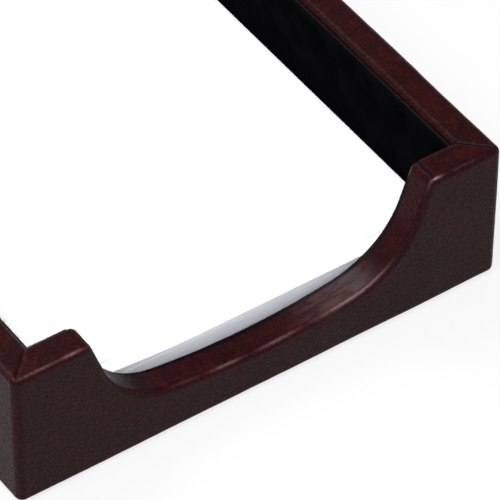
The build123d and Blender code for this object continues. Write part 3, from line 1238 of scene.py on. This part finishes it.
@dataclass
class WallLining:
    """The velveteen on the inside of one wall, with a rounded top edge and the fuzz that stands on it."""

    form: TrayForm
    side: Side
    material: Material
    scoop: Scoop | None = None
    step: float = 1.5 * MM
    face_rows: int = 12
    round_steps: int = 6
    swell: float = 0.10 * MM
    swell_pitch: float = 11 * MM
    swell_seed: float = 5.0
    swell_share: float = 0.6
    swell_fade: float = 3 * MM
    swell_over: int = 2
    face_tip_and_highlight: float = 0.15
    tip_and_highlight_share: float = 1.0
    fibre_pitch: float = 0.05 * MM
    fibre_length: float = 0.70 * MM
    fibre_width: float = 0.05 * MM
    fibre_root: float = 0.05 * MM
    fibre_turns: tuple[float, float] = (0.15, 0.95)
    fibre_shares: tuple[float, float] = (0.35, 1.0)
    fibre_lean: float = 0.35
    fibre_out: float = 0.7
    fibre_stray: float = 0.25
    fibre_taper: float = 0.4
    fibre_tips_and_highlight: tuple[float, ...] = (0.5, 0.5, 1.0, 1.0)
    seed: int = 7

    @property
    def front(self) -> float:
        """How far the lining's face is from the tray's middle."""
        return self.form.lined_x if self.side.along_y else self.form.lined_y

    @property
    def back(self) -> float:
        """How far the lining's back is from the tray's middle."""
        return self.form.well_x if self.side.along_y else self.form.well_y

    @property
    def half(self) -> float:
        """Half the lining's thickness."""
        return (self.back - self.front) / 2

    def top_line(self) -> TopLine:
        """The lining's top line, a step short of the leather's fold.

        Returns:
            The line, which follows the scoop on the front wall.
        """
        if self.scoop:
            return self.scoop.top_line(self.form.lined_x, self.form.height - self.form.lining_top)
        end = self.form.well_y if self.side.along_y else self.form.lined_x
        return TopLine.level(end, self.form.lining_top, self.step)

    def row(self, line: TopLine, lift: float, outward: float, share: float = 1.0) -> Array:
        """Places a row of points.

        Args:
            line: The lining's top line.
            lift: How far the row is below it.
            outward: How far the row is from the tray's middle.
            share: How far up from the floor the row is, from 0 to 1 at its place below the line.

        Returns:
            The row's points.
        """
        up = self.form.floor_top + share * (line.up - lift * line.normal_up - self.form.floor_top)
        return self.side.place(line.along - lift * line.normal_along, np.full(len(up), outward), up)

    def build(self) -> list[Piece]:
        """Builds the lining with its fuzz.

        Returns:
            The new piece.
        """
        line = self.top_line()
        rows = [self.row(line, self.half, self.front, share) for share in np.linspace(0, 1, self.face_rows)]
        # Painted highlight along the lining's rounded top edge, with pale pile ends; a little on the face's
        # top row.
        tips_and_highlight = [0.0] * (self.face_rows - 1) + [self.face_tip_and_highlight]
        for turn in np.linspace(0, math.pi, 2 * self.round_steps)[1:]:
            lift, outward = self.half * (1 - math.sin(turn)), self.front + self.half * (1 - math.cos(turn))
            rows.append(self.row(line, lift, outward))
            tips_and_highlight.append(math.sin(turn))
        rows.append(self.row(line, self.half, self.back, 0.0))
        grid = np.array(rows)
        wave = ripple(grid, self.swell_pitch, self.swell_seed) * self.swell
        inward = self.side.place(np.zeros(1), -np.ones(1), np.zeros(1))[0]
        share = np.clip((grid[..., 2] - self.form.sheet_bottom) / self.swell_fade, 0, 1)
        share = share * (np.arange(len(grid)) < self.face_rows + self.swell_over)[:, None]
        grid = grid + inward * (np.abs(wave) * share * self.swell_share)[..., None]
        tip = np.repeat([*tips_and_highlight, 0.0], len(line.along))
        points, quads, tip = self.add_fuzz(line, grid.reshape(-1, 3), Sheet(grid).faces(), tip)
        node = f"{self.side.label}_lining"
        piece = make_object(f"{node}_pile", points, quads, {"tip": tip * self.tip_and_highlight_share})
        return [settle(piece, self.material, BODY_TRAY, node)]

    def add_fuzz(self, line: TopLine, points: Array, quads: Array, tip: Array) -> tuple[Array, Array, Array]:
        """Stands short fibres along the lining's top edge.

        Args:
            line: The lining's top line.
            points: The lining's points so far.
            quads: Its quads so far.
            tip: Its tip values so far.

        Returns:
            The points, quads and tip values with the fibres'.
        """
        rng = np.random.default_rng(self.seed + self.side.value[1])
        length = np.concatenate([[0], np.cumsum(np.hypot(np.diff(line.along), np.diff(line.up)))])
        count = int(length[-1] / self.fibre_pitch)
        at = rng.uniform(0, length[-1], count)
        parts = (line.along, line.up, line.normal_along, line.normal_up)
        along, up, lean, rise = (np.interp(at, length, each) for each in parts)
        turn = rng.uniform(*self.fibre_turns, count) * math.pi
        sunk = self.half * (1 - np.sin(turn)) + self.fibre_root
        outward = self.front + self.half * (1 - np.cos(turn))
        root = self.side.place(along - sunk * lean, outward, up - sunk * rise)
        reach = self.fibre_length * rng.uniform(*self.fibre_shares, count)
        sideways = rng.normal(0, self.fibre_lean, count)
        way_out = -np.cos(turn) * self.fibre_out + rng.normal(0, self.fibre_stray, count)
        way = self.side.place(lean * np.sin(turn) + sideways, way_out, rise * np.sin(turn))
        way = way / np.linalg.norm(way, axis=1, keepdims=True)
        across = self.side.place(rise, np.zeros(count), -lean) * (self.fibre_width / 2)
        end = root + way * reach[:, None]
        taper = across * self.fibre_taper
        corners = np.stack([root - across, root + across, end + taper, end - taper], axis=1)
        numbers = np.arange(4 * count).reshape(count, 4) + len(points)
        return (
            np.concatenate([points, corners.reshape(-1, 3)]),
            np.concatenate([quads, numbers]),
            np.concatenate([tip, np.tile(self.fibre_tips_and_highlight, count)]),
        )


@dataclass
class FloorLining:
    """The velveteen on the tray's floor, softly uneven, under the memo sheets."""

    form: TrayForm
    material: Material
    step: float = 3.0 * MM
    swell: float = 0.12 * MM
    swell_pitch: float = 14 * MM
    swell_seed: float = 2.0

    def build(self) -> list[Piece]:
        """Builds the floor's lining.

        Returns:
            The new piece.
        """
        form = self.form
        x, y = (spread(-end, end, self.step) for end in (form.lined_x, form.lined_y))
        grid_x, grid_y = np.meshgrid(x, y)
        grid = np.stack([grid_x, grid_y, np.full(grid_x.shape, form.sheet_bottom)], axis=-1)
        grid[..., 2] -= self.swell * (1 + ripple(grid, self.swell_pitch, self.swell_seed)) / 2
        piece = make_object("floor_lining_pile", grid, Sheet(grid).faces(), {"tip": np.zeros(grid_x.size)})
        thicken(piece, form.sheet_bottom - form.floor_top - self.swell)
        return [settle(piece, self.material, BODY_TRAY, "floor_lining")]


@dataclass
class BaseFelt:
    """The felt glued under the tray, with rounded corners and a soft cut edge."""

    form: TrayForm
    material: Material
    inset: float = 2.5 * MM
    corner: float = 4.0 * MM
    corner_steps: int = 8
    step: float = 3.0 * MM
    rings: int = 9
    outer_rings: tuple[float, float] = (2 * MM, 1 * MM)
    hidden: float = 5 * MM
    edge: float = 0.3 * MM
    edge_round: float = 0.3
    wobble: float = 0.12 * MM
    wobble_pitch: float = 2.5 * MM
    wobble_seed: float = 1.0

    def outline(self, inset: float, up: float) -> Array:
        """Follows the felt's edge, drawn in by inset.

        Args:
            inset: The distance in from the felt's edge.
            up: The height.

        Returns:
            The points of the closed outline.
        """
        reach = np.array([self.form.half_width, self.form.half_depth]) - self.inset
        signs = np.array([(1, 1), (-1, 1), (-1, -1), (1, -1), (1, 1)])
        quarter = np.linspace(0, RIGHT_ANGLE, self.corner_steps)
        turns = np.arange(len(signs))[:, None] * RIGHT_ANGLE + quarter
        ways = np.stack([np.cos(turns), np.sin(turns)], axis=-1)
        arcs = (signs * (reach - self.corner))[:, None] + self.corner * ways
        points = []
        for arc, following in zip(arcs[:-1], arcs[1:]):
            gap = following[0] - arc[-1]
            run = np.linspace(0, 1, math.ceil(np.linalg.norm(gap) / self.step) + 1)[1:-1]
            points += [arc, arc[-1] + gap * run[:, None]]
        outline = np.concatenate(points) * (reach - inset) / reach
        return np.column_stack([outline, np.full(len(outline), up)])

    def build(self) -> list[Piece]:
        """Builds the felt.

        Returns:
            The new piece.
        """
        top, edge = self.form.sole, self.edge
        reach = self.form.half_width - self.inset
        last, outer = self.outer_rings
        rows = [(inset, 0.0) for inset in [*np.linspace(reach, last, self.rings), outer, edge]]
        rows += [(edge * self.edge_round, edge * self.edge_round), (0.0, edge), (0.0, top - edge)]
        rows += [(edge, top), (self.hidden, top)]
        grid = np.array([self.outline(inset, up) for inset, up in rows])
        grid = np.concatenate([grid, grid[:, :1]], axis=1)
        wave = ripple(grid[:, :-1], self.wobble_pitch, self.wobble_seed)
        wave = np.concatenate([wave, wave[:, :1]], axis=1) * self.wobble
        away = grid[..., :2] / np.maximum(np.linalg.norm(grid[..., :2], axis=-1, keepdims=True), TINY)
        grid[..., :2] -= away * np.abs(wave)[..., None]
        piece = make_object("base_cloth_felt", grid, Sheet(grid).faces(flip=True), {})
        piece.modifiers.new("weld", "WELD").merge_threshold = WELD_GAP
        return [settle(piece, self.material, BODY_TRAY, "base_cloth")]


# ---- memo sheets


@dataclass
class MemoSheets:
    """A pile of memo sheets on one body, built sheet by sheet, each a hair out of line with the next."""

    node: str
    body: str
    material: Material
    sheets: int
    seed: int
    skew: float = 0.0
    forward: float = 0.0
    shift: float = 0.02 * MM
    gap_share: float = 0.02
    cut_share: float = 1.0
    curl: float = 0.0
    curl_start: float = -15 * MM
    curl_run: float = 35.8 * MM
    curl_back: float = 20 * MM
    curl_depth: float = 98 * MM
    curl_powers: tuple[float, float] = (1.3, 1.5)
    fanned: bool = False
    columns: int = 24
    rows: int = 36
    crowding: float = 0.6

    def curl_share(self, x: Array, y: Array) -> Array:
        """How much of the curl a sheet has at each place, most at its front left corner."""
        across = np.clip((self.curl_start - x) / self.curl_run, 0, None) ** self.curl_powers[0]
        return across * np.clip((self.curl_back - y) / self.curl_depth, 0, None) ** self.curl_powers[1]

    def half_spread(self, steps: int, half: float) -> Array:
        """Distances from -half to half, closer together towards the ends."""
        share = np.linspace(-1, 1, steps + 1)
        return np.sign(share) * np.abs(share) ** self.crowding * half

    def slab(self, centre: Vector, low: float, high: float, lift: float, plain: bool) -> tuple[Array, ...]:
        """Works out one sheet.

        Args:
            centre: The middle of the sheet.
            low: Its underside.
            high: Its upper side.
            lift: How high its front left corner curls up.
            plain: True to make it from one quad a side.

        Returns:
            Its points, quads and values for the painted cool light on its cut edges.
        """
        columns, rows = (1, 1) if plain else (self.columns, self.rows)
        sides = (self.half_spread(steps, size / 2) for steps, size in zip((columns, rows), SHEET_SIZE))
        grid_x, grid_y = np.meshgrid(*sides)
        x = centre.x + grid_x * math.cos(self.skew) - grid_y * math.sin(self.skew)
        y = centre.y + grid_x * math.sin(self.skew) + grid_y * math.cos(self.skew)
        rise = lift * self.curl_share(x, y)
        upper, lower = (np.stack([x, y, side + rise], axis=-1) for side in (high, low))
        number = np.arange(x.size).reshape(x.shape)
        rim = np.concatenate([number[0, :-1], number[:-1, -1], number[-1, :0:-1], number[:0:-1, 0]])
        points = np.concatenate([upper.reshape(-1, 3), lower.reshape(-1, 3)])
        start, count = len(points), len(rim)
        here = np.arange(count)
        there = np.roll(here, -1)
        walls = np.stack([here + count, there + count, there, here], axis=-1) + start
        quads = [Sheet(upper).faces(), Sheet(lower).faces(flip=True) + x.size, walls]
        # Painted cool light on the cut edges' faces.
        cut = np.concatenate([np.zeros(start), np.full(2 * count, self.cut_share)])
        return np.concatenate([points, points[rim], points[rim + x.size]]), np.concatenate(quads), cut

    def build(self) -> list[Piece]:
        """Builds the pile.

        Returns:
            The new piece.
        """
        low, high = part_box(self.node)
        centre = (low + high) / 2 - Vector((0, self.forward, 0))
        rng = np.random.default_rng(self.seed)
        each = (high.z - low.z) / self.sheets
        points, quads, cuts = [], [], []
        for number in range(self.sheets):
            last = number == self.sheets - 1
            off = Vector((*(rng.uniform(-self.shift, self.shift, 2) * (0 if last else 1)), 0))
            base = low.z + number * each
            top = base + each * (1 - (0 if last else self.gap_share))
            lift = self.curl * ((number + 1) / self.sheets if self.fanned else 1.0)
            plain = not last and not self.curl
            corners, faces, cut = self.slab(centre + off, base, top, lift, plain)
            quads.append(faces + sum(map(len, points)))
            points.append(corners)
            cuts.append(cut)
        mesh = (np.concatenate(points), np.concatenate(quads), {"cut": np.concatenate(cuts)})
        piece = make_object(f"{self.node}_paper", *mesh, smooth=False)
        return [settle(piece, self.material, self.body, self.node)]


# ---- work out of sight


@dataclass
class HiddenWork:
    """The boards, brads and infill cards under the covering, which stay as the CAD has them."""

    finishes: dict[str, Material]

    def build(self) -> list[Piece]:
        """Gives the boards, cards and brads their finish, each by the last word of its node's name.

        Returns:
            The dressed nodes.
        """
        dressed = []
        for name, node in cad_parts.items():
            kind = name.rsplit("_", 1)[-1]
            if kind in self.finishes:
                node.data.materials.clear()
                node.data.materials.append(self.finishes[kind])
                dressed.append(node)
        return dressed


# ---- the studio


@dataclass(frozen=True)
class SoftLight:
    """A square soft light that points at the tray."""

    name: str
    direction: tuple[float, float, float]
    distance: float
    size: float
    power: float
    colour: Colour = WHITE

    def build(self, aim: Vector) -> Piece:
        """Hangs the light.

        Args:
            aim: The point that it faces.

        Returns:
            The lamp.
        """
        lamp = bpy.data.lights.new(self.name, "AREA")
        lamp.shape = "SQUARE"
        lamp.size = self.size
        lamp.energy = self.power
        lamp.color = self.colour
        holder = bpy.data.objects.new(self.name, lamp)
        bpy.context.scene.collection.objects.link(holder)
        way = Vector(self.direction).normalized()
        holder.location = aim + way * self.distance
        holder.rotation_euler = way.to_track_quat("Z", "Y").to_euler()
        return holder


@dataclass(frozen=True)
class Studio:
    """The pale floor, the soft lights, the world and the camera."""

    camera_place: tuple[float, float, float] = (-0.367075, -0.605229, 0.665146)
    camera_aim: tuple[float, float, float] = (0.020444, -0.051760, 0.000125)
    camera_roll: float = math.radians(0.496)
    camera_range: tuple[float, float] = (0.05, 20.0)
    lens: float = 319.4
    sensor: float = 36.0
    floor_reach: float = 6.0
    floor_drop: float = 0.15 * MM
    floor_colour: Colour = (0.76, 0.76, 0.76)
    floor_roughness: float = 0.9
    floor_lift: float = 0.78
    fill: float = 0.45
    fill_colour: Colour = (0.885, 0.915, 1.0)
    ceiling_ramp: Ramp = (0.35, 0.60, 1.0, 0.05)
    aim: tuple[float, float, float] = (0.0, -0.02, 0.0)
    lights: tuple[SoftLight, ...] = (
        SoftLight("key_light", (-0.42, -0.30, 0.86), 1.5, 1.0, 21.0, (1.0, 0.985, 0.97)),
        SoftLight("back_light", (-0.065, 0.58, 0.81), 1.2, 0.75, 5.3),
    )

    def build(self) -> list[Piece]:
        """Builds the studio.

        Returns:
            The floor, which is no part of the tray.
        """
        bpy.context.scene.view_settings.view_transform = "Standard"
        self.build_world()
        for light in self.lights:
            light.build(Vector(self.aim))
        self.build_camera()
        return [self.build_floor()]

    def build_world(self) -> None:
        """Lights the scene evenly from all round, and shows white walls under a dim ceiling."""
        world = bpy.data.worlds.new("studio")
        bpy.context.scene.world = world
        world.use_nodes = True
        sketch = NodeSketch(world.node_tree)
        fill = world.node_tree.nodes["Background"]
        sketch.feed(fill.inputs["Color"], self.fill_colour)
        sketch.feed(fill.inputs["Strength"], self.fill)
        parts = sketch.add("SeparateXYZ", {0: sketch.add("TexCoord").outputs["Generated"]})
        walls = sketch.ramp(parts.outputs["Z"], self.ceiling_ramp)
        white = sketch.add("Background", {"Color": WHITE, "Strength": walls})
        seen = sketch.seen_directly()
        mixed = sketch.add("MixShader", {0: seen, 1: fill.outputs[0], 2: white.outputs[0]})
        sketch.feed(world.node_tree.nodes["World Output"].inputs["Surface"], mixed.outputs[0])

    def build_floor(self) -> Piece:
        """Lays the floor.

        Returns:
            The floor.
        """
        reach, signs = self.floor_reach, ((-1, -1), (1, -1), (1, 1), (-1, 1))
        corners = np.array([(x * reach, y * reach, -self.floor_drop) for x, y in signs])
        floor = make_object("studio_floor", corners, np.array([[0, 1, 2, 3]]), {})
        sketch = MaterialSketch("studio_floor")
        sketch.shade(Base_Color=self.floor_colour, Roughness=self.floor_roughness, Specular_IOR_Level=0.0)
        glow = sketch.add("Emission", {"Color": WHITE, "Strength": 1.0})
        share = sketch.times(sketch.seen_directly(), self.floor_lift)
        mixed = sketch.add("MixShader", {0: share, 1: sketch.shader.outputs[0], 2: glow.outputs[0]})
        sketch.feed(sketch.tree.nodes["Material Output"].inputs["Surface"], mixed.outputs[0])
        floor.data.materials.append(sketch.material)
        return floor

    def build_camera(self) -> Piece:
        """Sets the camera at the photograph's viewing angle.

        Returns:
            The camera.
        """
        data = bpy.data.cameras.new("camera")
        data.lens = self.lens
        data.sensor_width = self.sensor
        data.clip_start, data.clip_end = self.camera_range
        camera = bpy.data.objects.new("camera", data)
        bpy.context.scene.collection.objects.link(camera)
        place, aim = Vector(self.camera_place), Vector(self.camera_aim)
        level = (aim - place).to_track_quat("-Z", "Y").to_matrix()
        turned = level @ Matrix.Rotation(self.camera_roll, 3, "Z")
        camera.matrix_world = Matrix.Translation(place) @ turned.to_4x4()
        bpy.context.scene.camera = camera
        return camera


# ---- the tray


def front_scuff_highlights(form: TrayForm) -> tuple[ScuffHighlight, ...]:
    """Places the knocked-off spots with their painted highlights on the right post: two on its outer fold
    and one on the strip.

    Args:
        form: The tray's form.

    Returns:
        The scuffs.
    """
    front, top = -form.half_depth, form.height
    return (
        ScuffHighlight((43.2 * MM, front + 0.75 * MM, top - 0.2 * MM), (0.9 * MM, 0.40 * MM, 0.8 * MM), 0.65),
        ScuffHighlight((52.6 * MM, front + 0.50 * MM, top - 0.4 * MM), (0.6 * MM, 0.35 * MM, 0.6 * MM), 0.42),
        ScuffHighlight((41.2 * MM, front + 5.6 * MM, top - 3.6 * MM), (0.4 * MM, 0.4 * MM, 0.5 * MM), 0.40),
    )


def memo_piles(paper: Material) -> list[MemoSheets]:
    """Lists the piles of sheets from the bottom up.

    Args:
        paper: The paper's finish.

    Returns:
        The straight stack, the skewed sheaf and the two top sheets.
    """
    loose = {"curl": 3.2 * MM}
    sheaf = {"skew": math.radians(-0.08), "forward": 0.20 * MM, "cut_share": 0.8, "fanned": True, **loose}
    return [
        MemoSheets("memo_block", "memo_stack", paper, sheets=77, seed=3),
        MemoSheets("memo_sheaf", "sheaf", paper, sheets=6, seed=5, **sheaf),
        MemoSheets("top_sheets", "top_sheets", paper, sheets=2, seed=9, **loose),
    ]


def main() -> None:
    """Builds the tray, the memo sheets and the studio, and logs each new piece's face count."""
    logging.basicConfig(level=logging.INFO, format="%(name)s: %(message)s")
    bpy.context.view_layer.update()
    form = TrayForm.from_frame()
    scoop = Scoop(form)
    leather = LeatherFinish().build()
    velveteen = VelveteenFinish().build()
    paper = PaperFinish().build()
    plain_walls = (Side.RIGHT, Side.REAR, Side.LEFT)
    hidden = {"board": BOARD_FINISH, "infill": CARD_FINISH, "brads": WIRE_FINISH}
    parts = [
        FrontLeatherCover(form, Side.FRONT, leather, front_scuff_highlights(form), scoop=scoop),
        *(LeatherCover(form, side, leather) for side in plain_walls),
        WallLining(form, Side.FRONT, velveteen, scoop, fibre_length=0.3 * MM, tip_and_highlight_share=0.2),
        *(WallLining(form, side, velveteen) for side in plain_walls),
        FloorLining(form, velveteen),
        BaseFelt(form, FeltFinish().build()),
        *memo_piles(paper),
        HiddenWork({kind: finish.build() for kind, finish in hidden.items()}),
        Studio(),
    ]
    for part in parts:
        for piece in part.build():
            LOG.info("%s: %d faces", piece.name, len(piece.data.polygons))


if __name__ == "__main__":
    main()
